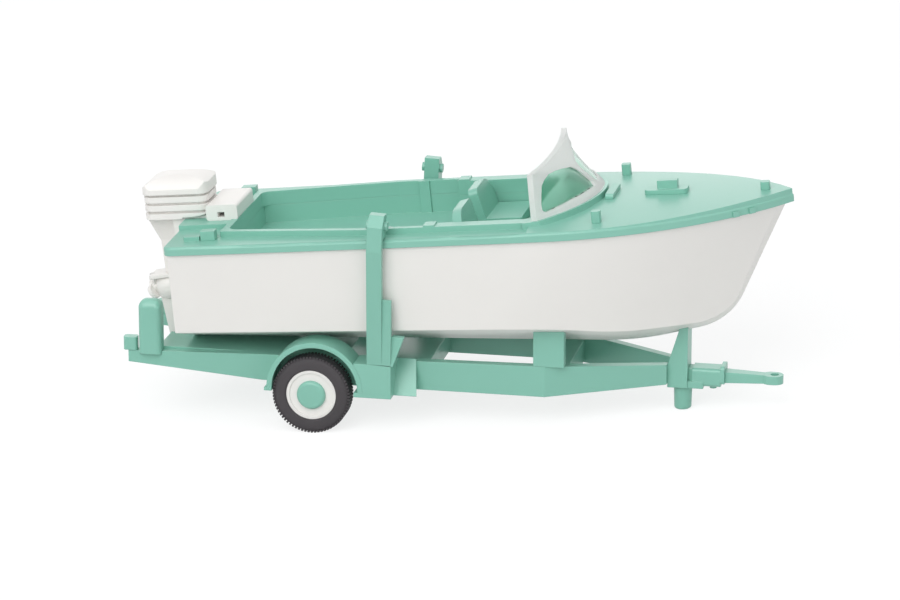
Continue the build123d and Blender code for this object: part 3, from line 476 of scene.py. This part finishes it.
@dataclass(frozen=True)
class DrawnSteel:
    """Cold-drawn steel pin.

    Drawing leaves fine scratches along the pin that stretch its highlights.
    """

    name: str
    colour: str
    roughness: float = 0.35
    sway: float = 0.1
    # drawn scratches are near 0.01 mm wide, too fine to show, so they are drawn coarser
    scratch_mm: float = 0.12
    stretch: tuple[float, float, float] = (1.0, 0.04, 1.0)

    def build(self) -> bpy.types.Material:
        """Build the material.

        Returns:
            The finished material.
        """
        material, tree = new_material(self.name)
        place = add_node(tree, "ShaderNodeTexCoord").outputs["Object"]
        stretched = add_node(
            tree, "ShaderNodeMapping", {"Vector": place, "Scale": self.stretch}
        )
        scratches = add_node(
            tree,
            "ShaderNodeTexNoise",
            {"Vector": stretched.outputs["Vector"], "Scale": 1 / (self.scratch_mm * MM)},
        )
        shine = add_node(
            tree,
            "ShaderNodeMapRange",
            {
                "Value": scratches.outputs["Fac"],
                "To Min": self.roughness - self.sway,
                "To Max": self.roughness + self.sway,
            },
        )
        shader = add_node(
            tree,
            "ShaderNodeBsdfPrincipled",
            {
                "Base Color": linear(self.colour),
                "Metallic": 1.0,
                "Roughness": shine.outputs["Result"],
            },
        )
        add_node(tree, "ShaderNodeOutputMaterial", {"Surface": shader.outputs["BSDF"]})
        return material


FINISHES = {
    Slot.MINT: MouldedStyrene("moulded_styrene_mint", "#86C1AF", "#82BDAB", 0.33),
    Slot.WHITE: MouldedStyrene("moulded_styrene_white", "#F1EEEA", "#EDEAE6", 0.42),
    Slot.FROSTED: ClearStyrene("frosted_styrene", "#F4F5F3", 0.5, 0.45),
    Slot.CLEAR: ClearStyrene("crystal_styrene", "#B0DCCB", 0.10, 1.0),
    Slot.TYRE: MouldedTyre("moulded_vinyl_black", "#3D393C", "#484447"),
    Slot.STEEL: DrawnSteel("drawn_steel_pin", "#A8A9AB"),
}


@dataclass
class MouldedPieces:
    """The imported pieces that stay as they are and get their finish."""

    record: dict[str, Any]
    nodes: dict[str, bpy.types.Object]
    materials: dict[Slot, bpy.types.Material] = field(default_factory=dict)

    def make_finishes(self) -> None:
        """Build one material for each slot."""
        self.materials = {slot: finish.build() for slot, finish in FINISHES.items()}

    def dress(self) -> None:
        """Put each node's finish on its material slots."""
        for entry in self.record["subparts"]:
            node = self.nodes[entry["node"]]
            material = self.materials[Slot(entry["material_slot"])]
            for slot in node.material_slots:
                slot.material = material
            log.info("%s wears %s", entry["node"], material.name)


@dataclass
class TreadedTyre:
    """A tyre of the wheelset: turned body with rows of tread blocks.

    The body is spun from a half section and the blocks are set round it by
    Geometry Nodes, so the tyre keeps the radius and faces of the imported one.
    """

    side: Side
    material: bpy.types.Material
    radius_mm: float = 3.9
    bead_mm: float = 2.5
    width_mm: float = 2.0
    steps: int = 96
    smooth_degrees: float = 32.0
    block_count: int = 72
    block_rows: int = 2
    block_long_mm: float = 0.2
    block_wide_mm: float = 0.84
    block_high_mm: float = 0.22
    block_sunk_mm: float = 0.12
    # share of the depth from bead to tread, share of the width in from the face
    section: tuple[tuple[float, float], ...] = (
        (0.0, 0.16),
        (0.0, 0.07),
        (0.07, 0.05),
        (0.12, 0.0),
        (0.45, 0.0),
        (0.62, 0.02),
        (0.8, 0.06),
        (0.91, 0.15),
        (0.965, 0.25),
    )

    def body(self, centre: Vector) -> bpy.types.Object:
        """Spin the section round the axle.

        Args:
            centre: Middle of the tyre, in metres.

        Returns:
            The turned body as an object at the origin.
        """
        depth = self.radius_mm - self.bead_mm
        half = [
            (self.bead_mm + share * depth, self.width_mm * (0.5 - across))
            for share, across in self.section
        ]
        ring = half + [(radius, -offset) for radius, offset in reversed(half)]
        verts, faces = [], []
        for step in range(self.steps):
            angle = 2 * math.pi * step / self.steps
            for radius, offset in ring:
                spoke = Vector((math.cos(angle) * radius, offset, math.sin(angle) * radius))
                verts.append(centre + spoke * MM)
        count = len(ring)
        for step in range(self.steps):
            here, ahead = step * count, (step + 1) % self.steps * count
            for index in range(count):
                after = (index + 1) % count
                faces.append((here + index, ahead + index, ahead + after, here + after))
        return new_piece(f"tread_{self.side.value}", verts, faces, self.smooth_degrees)

    def tread_tree(self, centre: Vector) -> bpy.types.NodeTree:
        """Build the node tree that sets the blocks round the body.

        Args:
            centre: Middle of the tyre, in metres.

        Returns:
            The node tree.
        """
        tree = bpy.data.node_groups.new(f"tread_rows_{self.side.value}", "GeometryNodeTree")
        face = tree.interface
        face.new_socket("Geometry", in_out="INPUT", socket_type="NodeSocketGeometry")
        for name, kind in (
            ("Count", "NodeSocketInt"),
            ("Radius", "NodeSocketFloat"),
            ("Block Size", "NodeSocketVector"),
            ("Row Pitch", "NodeSocketFloat"),
            ("Material", "NodeSocketMaterial"),
        ):
            face.new_socket(name, in_out="INPUT", socket_type=kind)
        face.new_socket("Geometry", in_out="OUTPUT", socket_type="NodeSocketGeometry")
        given = add_node(tree, "NodeGroupInput").outputs
        block = add_node(tree, "GeometryNodeMeshCube", {"Size": given["Block Size"]})
        rows = []
        for row in range(self.block_rows):
            ring = add_node(
                tree,
                "GeometryNodeMeshCircle",
                {"Vertices": given["Count"], "Radius": given["Radius"]},
            )
            spoke = add_node(
                tree,
                "FunctionNodeAlignRotationToVector",
                {"Vector": add_node(tree, "GeometryNodeInputPosition").outputs[0]},
                axis="X",
            )
            blocks = add_node(
                tree,
                "GeometryNodeInstanceOnPoints",
                {
                    "Points": ring.outputs["Mesh"],
                    "Instance": block.outputs["Mesh"],
                    "Rotation": spoke.outputs["Rotation"],
                },
            )
            share = row - (self.block_rows - 1) / 2
            lift = add_node(
                tree, "ShaderNodeMath", {0: given["Row Pitch"], 1: share}, operation="MULTIPLY"
            )
            place = add_node(tree, "ShaderNodeCombineXYZ", {"Z": lift.outputs[0]})
            # each row is turned by half a block's pitch against the last one
            turned = add_node(
                tree,
                "GeometryNodeTransform",
                {
                    "Geometry": blocks.outputs["Instances"],
                    "Translation": place.outputs[0],
                    "Rotation": (0.0, 0.0, row * math.pi / self.block_count),
                },
            )
            rows.append(turned.outputs["Geometry"])
        joined = add_node(tree, "GeometryNodeJoinGeometry")
        for row in rows:
            tree.links.new(row, joined.inputs[0])
        upright = add_node(
            tree,
            "GeometryNodeTransform",
            {
                "Geometry": joined.outputs[0],
                "Translation": tuple(centre),
                "Rotation": (math.pi / 2, 0.0, 0.0),
            },
        )
        whole = add_node(tree, "GeometryNodeJoinGeometry")
        tree.links.new(given["Geometry"], whole.inputs[0])
        tree.links.new(upright.outputs["Geometry"], whole.inputs[0])
        real = add_node(tree, "GeometryNodeRealizeInstances", {"Geometry": whole.outputs[0]})
        dressed = add_node(
            tree,
            "GeometryNodeSetMaterial",
            {"Geometry": real.outputs[0], "Material": given["Material"]},
        )
        add_node(tree, "NodeGroupOutput", {"Geometry": dressed.outputs[0]})
        return tree

    def build(self) -> bpy.types.Object:
        """Make the tyre, put it on the wheelset and let it stand for its node.

        Returns:
            The finished tyre.
        """
        node = f"tyre_{self.side.value}"
        low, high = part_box(node)
        centre = (Vector(low) + Vector(high)) / 2
        body = self.body(centre)
        values = {
            "Count": self.block_count,
            "Radius": (self.radius_mm - self.block_high_mm / 2) * MM,
            "Block Size": tuple(
                size * MM for size in (self.block_high_mm, self.block_long_mm, self.block_wide_mm)
            ),
            "Row Pitch": (self.width_mm - self.block_wide_mm - 2 * self.block_sunk_mm) * MM,
            "Material": self.material,
        }
        tyre = apply_nodes(body, self.tread_tree(centre), values)
        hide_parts(node)
        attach(tyre, "wheelset")
        return tyre


@dataclass(frozen=True)
class Lamp:
    """A round soft lamp that faces the origin, in metres and watts."""

    name: str
    place: tuple[float, float, float]
    width: float
    power: float

    def hang(self) -> None:
        """Hang the lamp in the scene."""
        data = bpy.data.lights.new(self.name, "AREA")
        data.shape = "DISK"
        data.size = self.width
        data.energy = self.power
        lamp = bpy.data.objects.new(self.name, data)
        lamp.location = self.place
        lamp.rotation_euler = (-Vector(self.place)).to_track_quat("-Z", "Y").to_euler()
        bpy.context.scene.collection.objects.link(lamp)


LAMPS = (
    Lamp("key", (-0.12, -0.58, 0.42), 0.6, 2.7),
    Lamp("top", (0.05, -0.1, 0.75), 0.8, 1.35),
    Lamp("fill", (0.55, -0.45, 0.3), 0.6, 0.6),
    Lamp("rear", (-0.1, 0.8, 0.2), 0.8, 1.05),
)


@dataclass
class Studio:
    """Pale floor, soft lamps and the camera of the photograph.

    The camera's place is kept from the axle, which the photograph shows best.
    """

    axle: Vector
    camera_mm: tuple[float, float, float] = (108.7015, -439.649, 135.097)
    forward: tuple[float, float, float] = (-0.205760, 0.939571, -0.273622)
    right: tuple[float, float, float] = (0.978582, 0.199368, -0.051285)
    lens_mm: float = 188.0
    sensor_mm: float = 36.0
    nearest: float = 0.01
    farthest: float = 20.0
    floor_mm: float = 4000.0
    paper: str = "#EDEEEE"
    paper_matt: float = 0.9
    paper_light: float = 0.72
    paper_glow: float = 1.08
    sky: str = "#F6F8FA"
    sky_light: float = 0.46

    def camera(self) -> None:
        """Set the camera at the photograph's place."""
        data = bpy.data.cameras.new("camera")
        data.lens = self.lens_mm
        data.sensor_width = self.sensor_mm
        data.clip_start = self.nearest
        data.clip_end = self.farthest
        camera = bpy.data.objects.new("camera", data)
        bpy.context.scene.collection.objects.link(camera)
        forward = Vector(self.forward).normalized()
        right = Vector(self.right).normalized()
        up = right.cross(forward)
        turn = Matrix((right, up, -forward)).transposed().to_4x4()
        place = self.axle + Vector(self.camera_mm) * MM
        camera.matrix_world = Matrix.Translation(place) @ turn
        bpy.context.scene.camera = camera

    def floor(self) -> None:
        """Lay the floor: near white where it is seen, pale paper to the lamps."""
        half = self.floor_mm * MM / 2
        mesh = bpy.data.meshes.new("floor")
        corners = [(-half, -half, 0), (half, -half, 0), (half, half, 0), (-half, half, 0)]
        mesh.from_pydata(corners, [], [(0, 1, 2, 3)])
        floor = bpy.data.objects.new("floor", mesh)
        bpy.context.scene.collection.objects.link(floor)
        material, tree = new_material("floor_paper")
        paper = add_node(
            tree,
            "ShaderNodeBsdfDiffuse",
            {"Color": linear(self.paper), "Roughness": self.paper_matt},
        )
        light = add_node(
            tree,
            "ShaderNodeEmission",
            {"Color": linear(WHITE_LIGHT), "Strength": self.paper_glow},
        )
        seen = add_node(
            tree,
            "ShaderNodeMath",
            {0: seen_rays(tree), 1: self.paper_light},
            operation="MULTIPLY",
        )
        shown = add_node(
            tree,
            "ShaderNodeMixShader",
            {0: seen.outputs[0], 1: paper.outputs[0], 2: light.outputs[0]},
        )
        add_node(tree, "ShaderNodeOutputMaterial", {"Surface": shown.outputs[0]})
        mesh.materials.append(material)

    def world(self) -> None:
        """Surround the set with even light, white where it is seen."""
        world = bpy.data.worlds.new("studio")
        bpy.context.scene.world = world
        world.use_nodes = True
        tree = world.node_tree
        tree.nodes.clear()
        fill = add_node(
            tree, "ShaderNodeBackground", {"Color": linear(self.sky), "Strength": self.sky_light}
        )
        shown = add_node(
            tree, "ShaderNodeBackground", {"Color": linear(WHITE_LIGHT), "Strength": 1.0}
        )
        mix = add_node(
            tree,
            "ShaderNodeMixShader",
            {0: seen_rays(tree), 1: fill.outputs[0], 2: shown.outputs[0]},
        )
        add_node(tree, "ShaderNodeOutputWorld", {"Surface": mix.outputs[0]})

    def build(self) -> None:
        """Set the whole studio."""
        self.camera()
        self.floor()
        self.world()
        for lamp in LAMPS:
            lamp.hang()
        bpy.context.scene.view_settings.view_transform = "Standard"


def main() -> None:
    """Dress the model and set the studio."""
    logging.basicConfig(level=logging.INFO, format="%(name)s: %(message)s")
    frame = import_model()
    pieces = MouldedPieces(frame["record"], frame["nodes"])
    pieces.make_finishes()
    pieces.dress()
    for side in Side:
        tyre = TreadedTyre(side, pieces.materials[Slot.TYRE]).build()
        log.info("%s has %d faces", tyre.name, len(tyre.data.polygons))
    spin = frame["record"]["behaviour"]["joints"][0]
    Studio(Vector(spin["pos_m"])).build()


if __name__ == "__main__":
    main()
